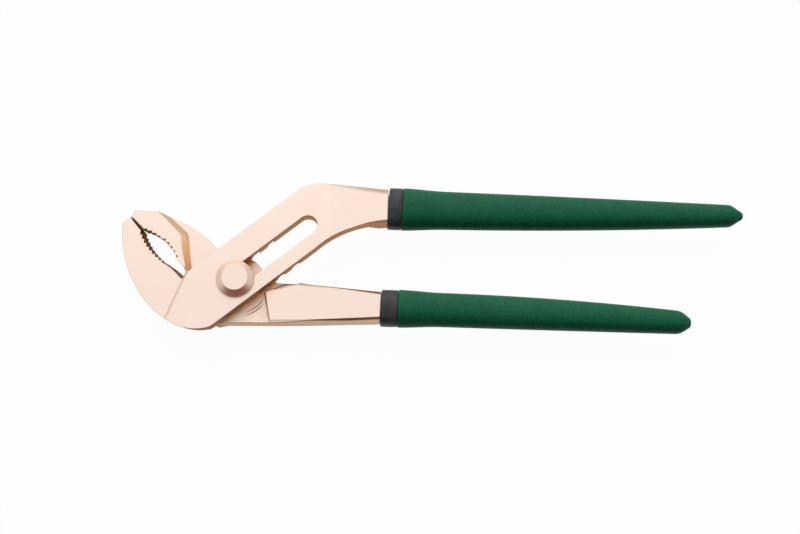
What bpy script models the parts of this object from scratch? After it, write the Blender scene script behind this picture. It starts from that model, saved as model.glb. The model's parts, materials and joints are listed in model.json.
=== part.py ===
"""Groove-joint slip joint pliers, lying flat, modelled in metres with +Z up.

The slotted lever (lower jaw, slotted arm, upper handle) and the tongued lever (upper jaw, neck,
lower handle) cross at a pivot bolt. The bolt slides along the arm's slot and the tongued lever
turns about it. The frame's origin is on the pivot axis, at the end face of the bolt, which is the
lowest point of the tool. X runs toward the handles and Z out of the face that shows the bolt head.

Plan coordinates are millimetres from the pivot axis. The arm's own coordinates are u along the
slot, away from the jaws, and v across it, toward the upper edge of the arm. Heights are
millimetres above the plane in which the two levers meet.
"""

import math

import bmesh
import bpy
from mathutils import Vector

MM = 0.001

# Clearances
RUNNING_GAP = 0.3
SEAT_GAP = 0.3
CUT_OVERRUN = 3.0

# Joint plates and jaws
PLATE_THICKNESS = 6.0
JAW_THICKNESS = 10.0
JAW_STEP_SLOPE = 1.3
RECESS_WALL_SLOPE = 1.8

# Slotted arm
ARM_ANGLE = 38.0
ARM_UPPER = 14.1
ARM_LOWER = 9.6
SLOT_WIDTH = 7.8
GROOVE_PITCH = 7.3
PIVOT_SETTINGS = 6
MAX_OPENING = 62.0

# Grooves in the back of the arm and the tongue that rides in them
GROOVE_RADIUS = 15.0
GROOVE_FLOOR = 2.2
GROOVE_RAMP = 1.5
GROOVE_DEPTH = 2.3
CHANNEL_EXTRA = 0.1
GROOVE_LEAD = 48.0
GROOVE_TRAIL = 62.0
TONGUE_LEAD_ANGLE = 12.0
TONGUE_TRAIL_ANGLE = 3.0
RELEASE_LAND = 1.6

# Rounded plate of the tongued lever
PLATE_RADIUS = 18.6
NECK_SWEEP = 19.5

# Jaws
BITE_START = (-42.65, 26.1)
BITE_LENGTH = 7.0
BITE_ANGLE = -48.5
TOOTH_COUNT = 9
FRONT_TOOTH_DEPTH = 1.0
REAR_TOOTH_DEPTH = 0.85
BITE_LEAN = 0.15
THROAT_DISTANCE = -16.5
JAW_STEP = ((-9.6, 28.5), (-30.8, -22.5))
POCKET_STEP_SHIFT = 1.2
POCKET_RAMP = 1.0
TIP_OPENING = 0.6
JAW_NOSE = (-45.8, 24.0)
JAW_CHEEK = (-46.1, 21.8)
JAW_BELLY = (-43.8, 6.2)
JAW_CHIN = (-37.3, -7.1)
JAW_BASE = (-31.4, -13.5)
JAW_HEEL_START = (-22.3, -19.3)
HEEL_LOW = (-17.4, -20.3)
HEEL_END = (-12.6, -20.2)
HEEL_CORNER = (-9.6, -19.6)
HEEL_RADIUS = 5.0
REAR_JAW_TOP = (-40.9, 29.1)
REAR_JAW_BACK = (-31.4, 28.5)
REAR_STEP = ((-31.5, 33.0), (-18.5, -2.0))

# The lower jaw's outer wall leans in below its face: the lean, and the plan corners between which it
# grows from nothing to full
JAW_DRAFT = 0.27
JAW_DRAFT_NONE = (-7.0, 20.0)
JAW_DRAFT_FULL = (-26.0, 8.0)

# Recess in the face of the tongued lever: each wall corner at the recess floor, and the way the
# wall leans from there up to the face. The handle's corners are in the arm's coordinates.
RECESS_JAW_WALL = (
    ((-33.5, 33.5), (0.0, -1.95)),
    ((-20.4, 20.8), (-1.25, -1.05)),
    ((-19.8, 19.7), (-1.4, -0.75)),
    ((-18.1, 5.3), (-1.1, 0.0)),
)
RECESS_HANDLE_WALL = (
    ((6.3, -10.4), (0.5, -0.6)),
    ((12.7, -11.8), (1.0, -1.3)),
    ((22.0, -16.3), (0.5, -0.6)),
)
RECESS_STOP_WAY = (0.25, 0.0)
RECESS_FAR_CORNER = (45.0, 31.0)
RECESS_REACH = 40.0

# Pivot bolt, washer and nut
HEAD_DIAMETER = 15.0
HEAD_FLAT_DIAMETER = 10.4
HEAD_RIM = 0.7
HEAD_HEIGHT = 2.6
THREAD_DIAMETER = 6.0
BOLT_END_CHAMFER = 0.7
BOLT_STICK_OUT = 0.4
WASHER_DIAMETER = 14.0
WASHER_THICKNESS = 1.0
NUT_ACROSS_FLATS = 10.0
NUT_THICKNESS = 3.2

# Handles: the root is where the metal enters the grip
TANG_THICKNESS = 9.0
TANG_OVERLAP = 2.0
TANG_EDGE_CHAMFER = 1.5
CHAMFER_START_GAP = 0.02
UPPER_TAPER_START = 38.0
UPPER_BEND_MIDDLE = (28.4, 39.1)
UPPER_BEND_END = (34.0, 40.05)
LOWER_TAPER_START = 20.0
LOWER_HANDLE_ABOVE = (30.0, -2.15)
LOWER_HANDLE_BELOW = (26.0, -16.6)
SLEEVE_WALL = 0.9
GRIP_WALL = 0.9
LIP_ROUND = 0.7
GRIP_NOSE = 4.0
NIB_LENGTH = 2.4
NIB_WIDTH = 4.0
FLARE_LENGTH = 17.0
FLARE_STATIONS = 6
SECTION_SQUARENESS = 2.5
SECTION_POINTS = 24
BORE_STATIONS = 5
GRIP_STATIONS = 9

ROUND_STEPS = 48
ARC_STEPS = 16

# Values that follow from the sizes above
SLOT_HALF = SLOT_WIDTH / 2
NECK_RADIUS = SLOT_HALF - RUNNING_GAP
PIVOT_TRAVEL = GROOVE_PITCH * (PIVOT_SETTINGS - 1)
MEETING_GAP = RUNNING_GAP / 2
JAW_HALF = JAW_THICKNESS / 2
GROOVE_TOP = MEETING_GAP + GROOVE_DEPTH
TONGUE_TOP = GROOVE_TOP - RUNNING_GAP
TONGUE_INNER = GROOVE_RADIUS + RUNNING_GAP
TONGUE_OUTER = GROOVE_RADIUS + GROOVE_FLOOR - RUNNING_GAP
ARM_CLEARANCE = 1.3 * RUNNING_GAP
HEAD_SEAT = PLATE_THICKNESS + SEAT_GAP
SHOULDER_END = -PLATE_THICKNESS - SEAT_GAP
WASHER_TOP = SHOULDER_END
NUT_TOP = WASHER_TOP - WASHER_THICKNESS - SEAT_GAP
BOLT_END = NUT_TOP - NUT_THICKNESS - BOLT_STICK_OUT
MEETING_HEIGHT = -BOLT_END

BRONZE = ((0.86, 0.60, 0.44, 1.0), 0.36, 1.0)
DARK_BRONZE = ((0.74, 0.49, 0.35, 1.0), 0.40, 1.0)
BLACK_VINYL = ((0.018, 0.017, 0.018, 1.0), 0.45, 0.0)
GREEN_VINYL = ((0.006, 0.105, 0.052, 1.0), 0.60, 0.0)


class Handle:
    """The straight frame of one handle: its root, its slope and the sizes of its grip."""

    def __init__(self, root, slope, bow, tang_width, sleeve_size, band, grip_sizes, flare, length):
        self.root = root
        self.slope = math.radians(slope)
        self.bow = bow
        self.tang_width = tang_width
        self.sleeve_size = sleeve_size
        self.band = band
        self.grip_sizes = grip_sizes
        self.flare = flare
        self.length = length

    def place(self, along, across):
        """Plan position of a point given along and across the handle."""
        cos, sin = math.cos(self.slope), math.sin(self.slope)
        return (self.root[0] + cos * along - sin * across, self.root[1] + sin * along + cos * across)

    def centre(self, along):
        """Sideways offset of the handle's centre line, which bows a little."""
        share = min(max(along / self.length, 0.0), 1.0)
        return 4 * self.bow * share * (1 - share)

    def grip_half(self, along):
        """Half width and half thickness of the plain green grip at a distance from the root."""
        (root_width, root_thick), (mid_width, mid_thick), (end_width, end_thick) = self.grip_sizes
        share = min(max((along - self.band) / (self.length - self.band), 0.0), 1.0)
        width = quadratic(root_width, mid_width, end_width, share)
        thick = quadratic(root_thick, mid_thick, end_thick, share)
        return width / 2, thick / 2

    def mouth_flare(self, along):
        """How far the grip's skin stands out near its mouth, at a distance from the root."""
        share = min(max((along - self.band) / FLARE_LENGTH, 0.0), 1.0)
        return self.flare / 2 * (1 - share * share * (3 - 2 * share))


UPPER_HANDLE = Handle(
    root=(61.0, 30.9), slope=-1.25, bow=-0.5, tang_width=14.3, sleeve_size=(17.2, 11.8), band=5.9,
    grip_sizes=((16.0, 11.2), (13.7, 10.6), (8.7, 8.7)), flare=1.4, length=142.0,
)
LOWER_HANDLE = Handle(
    root=(58.0, -10.65), slope=-2.85, bow=0.75, tang_width=12.0, sleeve_size=(14.9, 11.4), band=7.0,
    grip_sizes=((13.7, 10.9), (12.85, 10.4), (8.95, 8.6)), flare=1.5, length=123.5,
)


def quadratic(start, middle, end, share):
    """Value at a share of the way along the parabola through three evenly spaced values."""
    return (
        start * (1 - share) * (1 - 2 * share)
        + 4 * middle * share * (1 - share)
        + end * share * (2 * share - 1)
    )


def polar(centre, radius, degrees):
    """Plan point at an angle on a circle."""
    angle = math.radians(degrees)
    return (centre[0] + radius * math.cos(angle), centre[1] + radius * math.sin(angle))


def arc(centre, radius, start, end, steps=ARC_STEPS):
    """Points of an arc from one angle to another, both ends included."""
    return [polar(centre, radius, start + (end - start) * i / steps) for i in range(steps + 1)]


def arc_through(first, middle, last, steps=ARC_STEPS):
    """Points of the arc through three plan points, both ends included."""
    ax, ay = first
    bx, by = middle
    cx, cy = last
    d = 2 * (ax * (by - cy) + bx * (cy - ay) + cx * (ay - by))
    a2, b2, c2 = ax * ax + ay * ay, bx * bx + by * by, cx * cx + cy * cy
    centre = (
        (a2 * (by - cy) + b2 * (cy - ay) + c2 * (ay - by)) / d,
        (a2 * (cx - bx) + b2 * (ax - cx) + c2 * (bx - ax)) / d,
    )
    start = math.degrees(math.atan2(ay - centre[1], ax - centre[0]))
    end = math.degrees(math.atan2(cy - centre[1], cx - centre[0]))
    middle_angle = math.degrees(math.atan2(by - centre[1], bx - centre[0]))
    turn = (end - start) % 360
    if (middle_angle - start) % 360 > turn:
        turn -= 360
    return arc(centre, math.dist(centre, first), start, start + turn, steps)


def fillet(before, corner, after, radius, steps=6):
    """Points that round a corner between two straight edges."""
    to_before = Vector(before) - Vector(corner)
    to_after = Vector(after) - Vector(corner)
    half = to_before.angle(to_after) / 2
    reach = radius / math.tan(half)
    start = Vector(corner) + to_before.normalized() * reach
    end = Vector(corner) + to_after.normalized() * reach
    bisector = (to_before.normalized() + to_after.normalized()).normalized()
    middle = Vector(corner) + bisector * (radius / math.sin(half) - radius)
    return arc_through(tuple(start), tuple(middle), tuple(end), steps)


def arm_point(u, v):
    """Plan position of a point given in the arm's coordinates."""
    cos, sin = math.cos(math.radians(ARM_ANGLE)), math.sin(math.radians(ARM_ANGLE))
    return (u * cos - v * sin, u * sin + v * cos)


def bite_point(along, offset):
    """Point on the flat where the jaw tips meet, offset toward the upper jaw."""
    x, y = polar(BITE_START, along, BITE_ANGLE)
    return polar((x, y), offset, BITE_ANGLE + 90)


def teeth(tips, depth, drop):
    """Saw teeth whose tips lie on the given points; drop is the way from a tip to its root."""
    points = [tips[0]]
    for tip in tips[1:]:
        points.append((tip[0] + depth * drop[0], tip[1] + depth * drop[1]))
        points.append(tip)
    return points


def lean(points, height):
    """Shift points of a bite along the arm: the bite leans that way below the jaw's upper face."""
    dx, dy = arm_point(BITE_LEAN * (JAW_HALF - height), 0.0)
    return [(x + dx, y + dy) for x, y in points]


def front_mouth(height):
    """Edge of the lower jaw from the throat to the tip, at a height."""
    start = bite_point(BITE_LENGTH, -TIP_OPENING)
    tips = arc_through(start, (-34.3, 12.6), (-28.1, 6.9), TOOTH_COUNT)
    edge = teeth(tips, FRONT_TOOTH_DEPTH, (-1.0, -0.12))
    edge += [(-26.2, 5.75), (-23.8, 3.75), arm_point(THROAT_DISTANCE, ARM_UPPER)]
    edge.reverse()
    edge += [bite_point(0.0, -MEETING_GAP)]
    return lean(edge, height)


def rear_mouth(height):
    """Edge of the upper jaw from the tip to the arm, at a height."""
    start = bite_point(BITE_LENGTH, MEETING_GAP)
    tips = arc_through(start, (-29.9, 16.7), (-24.0, 9.2), TOOTH_COUNT)
    edge = [bite_point(0.0, MEETING_GAP)]
    edge += teeth(tips, REAR_TOOTH_DEPTH, (0.05, 1.0))
    edge += [(-23.5, 7.9), (-20.4, 4.6), arm_point(-14.0, ARM_UPPER + ARM_CLEARANCE)]
    return lean(edge, height)


def drafted(points, height):
    """Shift points of the lower jaw's outer edge toward its mouth, more the lower they lie."""
    moved = []
    for x, y in points:
        across = (JAW_DRAFT_NONE[0] - x) / (JAW_DRAFT_NONE[0] - JAW_DRAFT_FULL[0])
        down = (JAW_DRAFT_NONE[1] - y) / (JAW_DRAFT_NONE[1] - JAW_DRAFT_FULL[1])
        share = min(max(across, 0.0), 1.0) * min(max(down, 0.0), 1.0)
        moved.append((x, y + JAW_DRAFT * share * (PLATE_THICKNESS - height)))
    return moved


def tang_outline(handle):
    """Both edges of the bare metal where it runs into the grip, upper first."""
    half = handle.tang_width / 2
    return [handle.place(0.0, half), handle.place(0.0, -half)]


def slotted_outline(height):
    """Outline of the lower jaw, the arm and the root of the upper handle, at a height."""
    upper_root = tang_outline(UPPER_HANDLE)[0]
    edge = [JAW_NOSE]
    edge += arc_through(JAW_CHEEK, JAW_BELLY, JAW_CHIN)
    edge += arc_through(JAW_CHIN, JAW_BASE, JAW_HEEL_START)[1:]
    edge += arc_through(JAW_HEEL_START, HEEL_LOW, HEEL_END, 6)[1:]
    edge += fillet(HEEL_END, HEEL_CORNER, arm_point(10.0, -ARM_LOWER), HEEL_RADIUS)[1:]
    outline = front_mouth(height) + drafted(edge, height)
    outline += arm_handle_bend()
    outline += [upper_root]
    outline += arc_through(UPPER_BEND_END, UPPER_BEND_MIDDLE, arm_point(40.0, ARM_UPPER), 8)
    return outline


def arm_handle_bend():
    """Curved lower edge where the arm turns into the upper handle."""
    start = arm_point(33.0, -ARM_LOWER)
    middle = arm_point(46.3, -ARM_LOWER - 1.1)
    return arc_through(start, middle, tang_outline(UPPER_HANDLE)[1])


def tongued_outline(height):
    """Outline of the upper jaw, the neck, the round plate and the root of the lower handle."""
    upper_root, lower_root = tang_outline(LOWER_HANDLE)
    outline = rear_mouth(height)
    outline += arc((0.0, 0.0), PLATE_RADIUS, arm_edge_crossing(PLATE_RADIUS), 248.0)
    outline += [(-3.0, -16.5), (18.0, -16.6), LOWER_HANDLE_BELOW, lower_root, upper_root]
    outline += [LOWER_HANDLE_ABOVE, (22.0, -0.6), (16.5, -0.3)]
    outline += arc_through((10.9, 4.2), (7.9, 8.3), (1.5, 10.4), 6)
    outline += arc_through((-8.2, 14.5), (-19.2, 23.6), REAR_JAW_BACK, 8)
    outline += [REAR_JAW_TOP]
    return outline


def arm_edge_crossing(radius):
    """Angle at which a circle about the pivot meets the cleared line along the arm's upper edge."""
    return ARM_ANGLE + 180 - math.degrees(math.asin((ARM_UPPER + ARM_CLEARANCE) / radius))


def midpoints(points):
    """Points half way between neighbours in a row of plan points."""
    return [((ax + bx) / 2, (ay + by) / 2) for (ax, ay), (bx, by) in zip(points, points[1:])]


def shifted_line(line, shift):
    """A line of two plan points moved along X."""
    return [(x + shift, y) for x, y in line]


def collection(name):
    """A new collection in the scene."""
    made = bpy.data.collections.new(name)
    bpy.context.scene.collection.children.link(made)
    return made


def material(name, look):
    """A Principled BSDF material from a colour, a roughness and a metallic value."""
    colour, roughness, metallic = look
    made = bpy.data.materials.new(name)
    made.use_nodes = True
    shader = made.node_tree.nodes["Principled BSDF"]
    shader.inputs["Base Color"].default_value = colour
    shader.inputs["Roughness"].default_value = roughness
    shader.inputs["Metallic"].default_value = metallic
    made.diffuse_color = colour
    return made


def mesh_object(name, bm, home):
    """An object that holds a finished bmesh, with its faces turned outward."""
    bmesh.ops.recalc_face_normals(bm, faces=bm.faces)
    mesh = bpy.data.meshes.new(name)
    bm.to_mesh(mesh)
    bm.free()
    made = bpy.data.objects.new(name, mesh)
    home.objects.link(made)
    return made


def slab(name, outline, low, high, home):
    """A flat outline given thickness: a filled plan curve, turned into a mesh."""
    curve = bpy.data.curves.new(name, "CURVE")
    curve.dimensions = "2D"
    curve.fill_mode = "BOTH"
    curve.extrude = (high - low) / 2 * MM
    spline = curve.splines.new("POLY")
    spline.points.add(len(outline) - 1)
    for point, (x, y) in zip(spline.points, outline):
        point.co = (x * MM, y * MM, 0.0, 1.0)
    spline.use_cyclic_u = True
    drawn = bpy.data.objects.new(name + "_outline", curve)
    home.objects.link(drawn)
    drawn.location.z = (MEETING_HEIGHT + (low + high) / 2) * MM
    bpy.context.view_layer.update()
    evaluated = drawn.evaluated_get(bpy.context.evaluated_depsgraph_get())
    bm = bmesh.new()
    bm.from_mesh(bpy.data.meshes.new_from_object(evaluated))
    bmesh.ops.remove_doubles(bm, verts=bm.verts, dist=0.000001)
    made = mesh_object(name, bm, home)
    made.matrix_world = drawn.matrix_world.copy()
    bpy.data.objects.remove(drawn)
    return made


def loft(name, loops, home):
    """A closed solid through a row of loops with equal numbers of points, paired in order."""
    bm = bmesh.new()
    rings = [[bm.verts.new((x * MM, y * MM, z * MM)) for x, y, z in loop] for loop in loops]
    for one, other in zip(rings, rings[1:]):
        for i in range(len(one)):
            bm.faces.new((one[i - 1], one[i], other[i], other[i - 1]))
    bmesh.ops.triangulate(bm, faces=bm.faces)
    for end in (rings[0], rings[-1]):
        bm.faces.new(end)
    return mesh_object(name, bm, home)


def blank(name, outline_at, low, high, home):
    """A lever's blank: a slab whose outline is given at its low face and at its high face."""
    return sloped_slab(name, outline_at(low), outline_at(high), low, high, home)


def sloped_slab(name, low_outline, high_outline, low, high, home):
    """A slab whose outline changes from its low face to its high face."""
    loops = [
        [(x, y, MEETING_HEIGHT + low) for x, y in low_outline],
        [(x, y, MEETING_HEIGHT + high) for x, y in high_outline],
    ]
    return loft(name, loops, home)


def turned(name, profile, home, steps=ROUND_STEPS):
    """A turned solid from a profile of radius and height that runs down its outer side."""
    bm = bmesh.new()
    places = [(radius * MM, 0.0, (MEETING_HEIGHT + height) * MM) for radius, height in profile]
    verts = [bm.verts.new(place) for place in places]
    for one, other in zip(verts, verts[1:]):
        bm.edges.new((one, other))
    if profile[0][0] > 0:
        bm.edges.new((verts[-1], verts[0]))
    mesh = bpy.data.meshes.new(name)
    bm.to_mesh(mesh)
    bm.free()
    made = bpy.data.objects.new(name, mesh)
    home.objects.link(made)
    screw = made.modifiers.new("turn", "SCREW")
    screw.axis = "Z"
    screw.steps = steps
    screw.render_steps = steps
    screw.use_merge_vertices = True
    screw.merge_threshold = 0.00001
    return made


def combine(target, tool, operation):
    """Apply another object to a target by an exact Boolean and hide that object."""
    modifier = target.modifiers.new(tool.name, "BOOLEAN")
    modifier.operation = operation
    modifier.solver = "EXACT"
    modifier.object = tool
    tool.hide_render = True
    tool.display_type = "WIRE"


def cut(target, *tools):
    """Cut each tool out of the target."""
    for tool in tools:
        combine(target, tool, "DIFFERENCE")


def join(target, *tools):
    """Add each tool to the target."""
    for tool in tools:
        combine(target, tool, "UNION")


def section(handle, along, half_width, half_thickness):
    """One oval loop square to the handle, its centre on the handle's centre line."""
    loop = []
    for i in range(SECTION_POINTS):
        angle = 2 * math.pi * i / SECTION_POINTS
        across = math.copysign(abs(math.cos(angle)) ** (2 / SECTION_SQUARENESS), math.cos(angle))
        height = math.copysign(abs(math.sin(angle)) ** (2 / SECTION_SQUARENESS), math.sin(angle))
        x, y = handle.place(along, handle.centre(along) + half_width * across)
        loop.append((x, y, MEETING_HEIGHT + half_thickness * height))
    return loop


def core_half(handle, along, layers):
    """Half sizes at a distance from the root, a number of millimetres in from the grip's skin."""
    half_width, half_thickness = handle.grip_half(along)
    return half_width - layers, half_thickness - layers


def spread(first, last, count):
    """A number of evenly spaced values, both ends included."""
    return [first + (last - first) * i / (count - 1) for i in range(count)]


def tang_solid(name, handle, home):
    """The metal tongue inside the grip, which overlaps the lever at its root."""
    depth = GRIP_WALL + SLEEVE_WALL + 2 * SEAT_GAP
    end = handle.length - GRIP_NOSE - 2 * depth
    loops = []
    for i in range(BORE_STATIONS):
        along = -TANG_OVERLAP + (end + TANG_OVERLAP) * i / (BORE_STATIONS - 1)
        half_width, half_thickness = core_half(handle, max(along, handle.band), depth)
        half_thickness = min(half_thickness, TANG_THICKNESS / 2 - SEAT_GAP)
        loops.append(section(handle, along, half_width, half_thickness))
    return loft(name, loops, home)


def layer_bore(name, handle, start, depth, home):
    """The cutter for the bore of a sleeve, open at the root end."""
    end = handle.length - GRIP_NOSE - 2 * depth + 2 * SEAT_GAP
    loops = [section(handle, start - CUT_OVERRUN, *core_half(handle, handle.band, depth))]
    for i in range(BORE_STATIONS):
        along = handle.band + (end - handle.band) * i / (BORE_STATIONS - 1)
        loops.append(section(handle, along, *core_half(handle, along, depth)))
    return loft(name, loops, home)


def inner_sleeve(name, handle, parts, cutters):
    """The black sleeve: a band that shows, and a thin lining under the green grip."""
    depth = GRIP_WALL + SEAT_GAP
    end = handle.length - GRIP_NOSE - 2 * depth + 2 * SEAT_GAP
    band_half = (handle.sleeve_size[0] / 2, handle.sleeve_size[1] / 2)
    rim_half = (band_half[0] - 0.3, band_half[1] - 0.3)
    shoulder = handle.band - SEAT_GAP
    loops = [
        section(handle, SEAT_GAP, *rim_half),
        section(handle, SEAT_GAP + 0.4, *band_half),
        section(handle, shoulder, *band_half),
    ]
    for i in range(BORE_STATIONS + 1):
        along = handle.band + (end - handle.band) * i / BORE_STATIONS
        if i == 0:
            along = shoulder + 0.02
        loops.append(section(handle, along, *core_half(handle, max(along, handle.band), depth)))
    sleeve = loft(name, loops, parts)
    cut(sleeve, layer_bore(name + "_bore", handle, 0.0, depth + SLEEVE_WALL, cutters))
    return sleeve


def outer_grip(name, handle, nib, parts, cutters):
    """The green grip: an oval tube with a rounded end, which may carry a small nib."""
    start = handle.band
    shoulder = handle.length - GRIP_NOSE
    loops = [section(handle, start, *core_half(handle, start, LIP_ROUND / 2 - handle.mouth_flare(start)))]
    plain = start + FLARE_LENGTH
    stations = spread(start + LIP_ROUND, plain, FLARE_STATIONS) + spread(plain, shoulder, GRIP_STATIONS)[1:]
    for along in stations:
        loops.append(section(handle, along, *core_half(handle, along, -handle.mouth_flare(along))))
    half_width, half_thickness = handle.grip_half(handle.length)
    tip_half = NIB_WIDTH / 2
    for i in range(1, 5):
        angle = math.radians(90 * i / 5)
        along = shoulder + GRIP_NOSE * math.sin(angle)
        width = tip_half + (half_width - tip_half) * math.cos(angle)
        thick = tip_half + (half_thickness - tip_half) * math.cos(angle)
        loops.append(section(handle, along, width, thick))
    reach = NIB_LENGTH if nib else 0.8
    for i in range(1, 4):
        angle = math.radians(90 * i / 4)
        size = tip_half * math.cos(angle)
        loops.append(section(handle, handle.length + reach * math.sin(angle), size, size))
    grip = loft(name, loops, parts)
    cut(grip, layer_bore(name + "_bore", handle, start, GRIP_WALL, cutters))
    return grip


def face_profile_cut(name, stations, outward, home):
    """Cutter that thins a lever along X, from (x, half thickness) stations on one of its faces."""
    span = 60.0
    top = PLATE_THICKNESS + CUT_OVERRUN
    points = list(stations) + [(stations[-1][0], top), (stations[0][0], top)]
    loops = [[(x, y, MEETING_HEIGHT + outward * z) for x, z in points] for y in (-span, span)]
    return loft(name, loops, home)


def handle_cuts(name, handle, start, edges, side, home):
    """Cutters that thin both faces of a lever down to its handle and chamfer the handle's edges."""
    root = handle.root[0]
    thin = (root - TANG_OVERLAP, TANG_THICKNESS / 2)
    end = (root + CUT_OVERRUN, TANG_THICKNESS / 2)
    cutters = []
    for face, outward, thickness in (("face", side, PLATE_THICKNESS), ("back", -side, JAW_HALF)):
        profile = [(start, thickness), thin]
        cutters.append(face_profile_cut(name + "_" + face, profile + [end], outward, home))
        for label, edge, inward in (("upper", edges[0], -1), ("lower", edges[1], 1)):
            chamfer = "%s_%s_%s_chamfer" % (name, face, label)
            cutters.append(edge_chamfer(chamfer, handle, edge, inward, profile, outward, home))
    return cutters


def edge_chamfer(name, handle, edge, inward, profile, outward, home):
    """Cutter for a chamfer along an edge, from nothing at its start to full width at the root."""
    (thick_x, thick), (thin_x, thin) = profile
    last = Vector(edge[-1]) + Vector(handle.place(CUT_OVERRUN, 0.0)) - Vector(handle.root)
    points = [Vector(point) for point in edge] + [last]
    loops = []
    for i, point in enumerate(points):
        run = points[min(i + 1, len(points) - 1)] - points[max(i - 1, 0)]
        away = Vector((-run.y, run.x)).normalized() * inward
        width = TANG_EDGE_CHAMFER * i / (len(points) - 2) - CHAMFER_START_GAP
        near = point + away * (width + CUT_OVERRUN)
        far = point - away * CUT_OVERRUN
        share = min(max((point.x - thick_x) / (thin_x - thick_x), 0.0), 1.0)
        face = thick + (thin - thick) * share
        loops.append([
            (near.x, near.y, MEETING_HEIGHT + outward * (face + CUT_OVERRUN)),
            (far.x, far.y, MEETING_HEIGHT + outward * (face - width - CUT_OVERRUN)),
            (far.x, far.y, MEETING_HEIGHT + outward * (face + CUT_OVERRUN)),
        ])
    return loft(name, loops, home)


def joint_pocket(home):
    """Cutter that leaves the arm as a single plate, from the lower jaw to the handle."""
    end = PIVOT_TRAVEL + NECK_SWEEP
    back = -JAW_HALF - CUT_OVERRUN
    ramp = POCKET_RAMP * (MEETING_GAP - back)
    top, bottom = shifted_line(JAW_STEP, POCKET_STEP_SHIFT)
    jaw_side = [top, bottom, (bottom[0], bottom[1] - CUT_OVERRUN), (0.0, bottom[1] - CUT_OVERRUN)]
    low = jaw_side + [arm_point(end + ramp, -50.0), arm_point(end + ramp, 25.0)]
    high = jaw_side + [arm_point(end, -50.0), arm_point(end, 25.0)]
    return sloped_slab("arm_joint_pocket", low, high, back, MEETING_GAP, home)


def slot_cutter(home):
    """Cutter for the slot that the bolt's neck slides in."""
    outline = arc(arm_point(0.0, 0.0), SLOT_HALF, ARM_ANGLE + 90, ARM_ANGLE + 270)
    outline += arc(arm_point(PIVOT_TRAVEL, 0.0), SLOT_HALF, ARM_ANGLE - 90, ARM_ANGLE + 90)
    return slab("arm_slot_cut", outline, -CUT_OVERRUN, PLATE_THICKNESS + CUT_OVERRUN, home)


def tongue_channel(home):
    """Cutter for the blind channel that carries the tongue on from the slot, toward the jaw."""
    end = -TONGUE_OUTER - 2 * RUNNING_GAP
    outline = [
        arm_point(0.0, SLOT_HALF),
        arm_point(end, SLOT_HALF),
        arm_point(end, -SLOT_HALF),
        arm_point(0.0, -SLOT_HALF),
    ]
    return slab("arm_tongue_channel", outline, -1.0, GROOVE_TOP + CHANNEL_EXTRA, home)


def groove_cutter(index, home):
    """Cutter for one arc groove, centred on one setting of the pivot."""
    centre = arm_point(GROOVE_PITCH * index, 0.0)
    inner = GROOVE_RADIUS
    floor = GROOVE_RADIUS + GROOVE_FLOOR
    overrun = 0.2
    mouth = floor + GROOVE_RAMP * (GROOVE_DEPTH + overrun) / GROOVE_DEPTH
    start = ARM_ANGLE + 180 + GROOVE_LEAD
    end = ARM_ANGLE + 180 - GROOVE_TRAIL
    low = arc(centre, inner, start, end) + arc(centre, mouth, end, start)
    high = arc(centre, inner, start, end) + arc(centre, floor, end, start)
    return sloped_slab("arm_groove_%d" % (index + 1), low, high, MEETING_GAP - overrun, GROOVE_TOP, home)


def release_rebate(home):
    """Cutter for the narrow rebate along the arm's upper edge, where the tongue comes free."""
    inner = ARM_UPPER - RELEASE_LAND
    end = PIVOT_TRAVEL + NECK_SWEEP
    outline = [
        arm_point(-13.0, inner),
        arm_point(end, inner),
        arm_point(end, ARM_UPPER + CUT_OVERRUN),
        arm_point(-13.0, ARM_UPPER + CUT_OVERRUN),
    ]
    return slab("arm_release_rebate", outline, 0.0, GROOVE_TOP + 2 * CHANNEL_EXTRA, home)


def jaw_face_cut(name, line, side, home):
    """Cutter that drops a jaw's outer face below the plate beside it, with a sloped step."""
    top, bottom = line
    high = PLATE_THICKNESS + CUT_OVERRUN
    slope = JAW_STEP_SLOPE * (high - JAW_HALF) / (PLATE_THICKNESS - JAW_HALF)
    far = -80.0
    near_face = [top, bottom, (far, bottom[1]), (far, top[1])]
    away = [(top[0] + slope, top[1]), (bottom[0] + slope, bottom[1]), (far, bottom[1]), (far, top[1])]
    if side > 0:
        return sloped_slab(name, near_face, away, JAW_HALF, high, home)
    return sloped_slab(name, away, near_face, -high, -JAW_HALF, home)


def joint_recess(home):
    """Cutter that leaves the tongued lever as a single plate, from the upper jaw to the handle."""
    edge = ARM_UPPER + ARM_CLEARANCE
    high = JAW_HALF + CUT_OVERRUN
    rise = (high + MEETING_GAP) / (JAW_HALF + MEETING_GAP)
    slope = RECESS_WALL_SLOPE * rise
    upright = (0.0, 0.0)
    stop_angle = ARM_ANGLE + 180 + MAX_OPENING
    stop_foot = polar((0.0, 0.0), ARM_LOWER + ARM_CLEARANCE, stop_angle + 90)
    walls = list(RECESS_JAW_WALL)
    walls += [
        (arm_point(-12.0, edge), upright),
        (arm_point(-RECESS_REACH, edge), upright),
        ((-RECESS_REACH, -RECESS_REACH), upright),
        (polar(stop_foot, RECESS_REACH, stop_angle), RECESS_STOP_WAY),
    ]
    walls += [(arm_point(*corner), way) for corner, way in RECESS_HANDLE_WALL]
    walls += [(RECESS_FAR_CORNER, upright)]
    low = [corner for corner, way in walls]
    top = [(x + slope * dx, y + slope * dy) for (x, y), (dx, dy) in walls]
    return sloped_slab("neck_joint_recess", low, top, -MEETING_GAP, high, home)


def tongue(home):
    """The arc-shaped tongue that stands on the plate and rides in the arm's grooves."""
    start = ARM_ANGLE + 180 - TONGUE_LEAD_ANGLE
    end = ARM_ANGLE + 180 + TONGUE_TRAIL_ANGLE
    outline = arc((0.0, 0.0), TONGUE_OUTER, start, end, 4) + arc((0.0, 0.0), TONGUE_INNER, end, start, 4)
    return slab("plate_tongue", outline, -2.0, TONGUE_TOP, home)


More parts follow.
